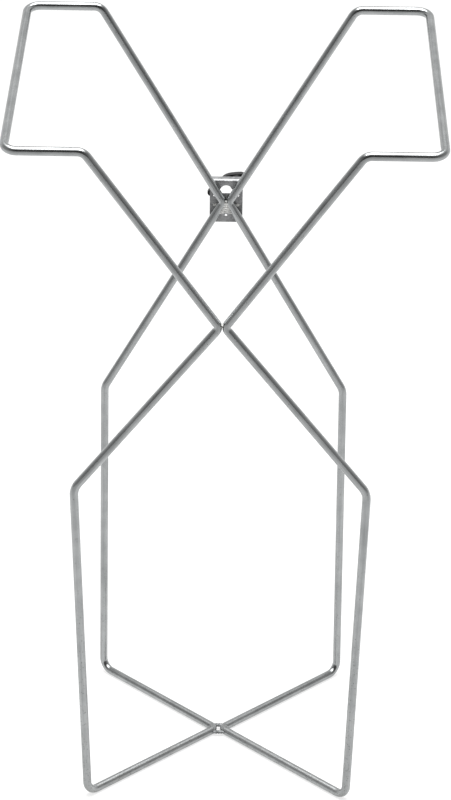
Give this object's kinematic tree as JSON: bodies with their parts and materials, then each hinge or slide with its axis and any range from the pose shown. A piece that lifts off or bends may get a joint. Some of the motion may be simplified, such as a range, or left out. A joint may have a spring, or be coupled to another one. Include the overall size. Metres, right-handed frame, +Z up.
{
  "type": "clothes drying rack",
  "caption": "Rigid free-standing rack of bent zinc-plated steel rod: two mirrored loops welded at the waists and floor, with sloping top arms and a rear clamp bracket with a hand lever.",
  "frame": {"origin": "on the floor, midway between the two loops and between the front and rear rods", "axes": "+X to the right, +Y to the rear, where the bracket plate is, and +Z up"},
  "size_m": [0.478, 0.3426, 0.903],
  "materials": {
    "zinc_rod": "bright zinc plate, semi-gloss, with fine drawing lines",
    "zinc_sheet": "galvanised sheet, satin",
    "zinc_weld": "plated weld metal, uneven satin",
    "zinc_hardware": "bright zinc plate",
    "brass_insert": "turned",
    "black_plastic": "fine-textured, slightly glossy"
  },
  "bodies": {
    "frame": {"top_arm_right": "zinc_rod", "top_arm_left": "zinc_rod", "rear_rod_right": "zinc_rod", "rear_rod_left": "zinc_rod", "front_rod_right": "zinc_rod", "front_rod_left": "zinc_rod", "floor_rod_right": "zinc_rod", "floor_rod_left": "zinc_rod", "rear_waist_lower_weld": "zinc_weld", "rear_waist_upper_weld": "zinc_weld", "front_waist_weld": "zinc_weld", "floor_weld_rear": "zinc_weld", "floor_weld_front": "zinc_weld", "bracket_weld_right": "zinc_weld", "bracket_weld_left": "zinc_weld", "stud_weld": "zinc_weld", "bracket_plate": "zinc_sheet", "clamp_stud": "zinc_hardware"},
    "clamp_washer": {"pressure_washer": "zinc_hardware"},
    "lever": {"hand_lever": "black_plastic", "lever_insert": "brass_insert"}
  },
  "joints": [
    {"name": "clamp_travel", "type": "slide", "parent": "frame", "child": "clamp_washer", "axis": [0, 1, 0], "range_m": [-0.006, 0.006]},
    {"name": "lever_turn", "type": "hinge", "parent": "clamp_washer", "child": "lever", "pos_m": [0.012, 0.17, 0.6765], "axis": [0, 1, 0], "range_deg": [-2160, 2160]}
  ],
  "couplings": [
    {"joint": "clamp_travel", "follows": "lever_turn", "m_per_rad": 0.00015915}
  ]
}
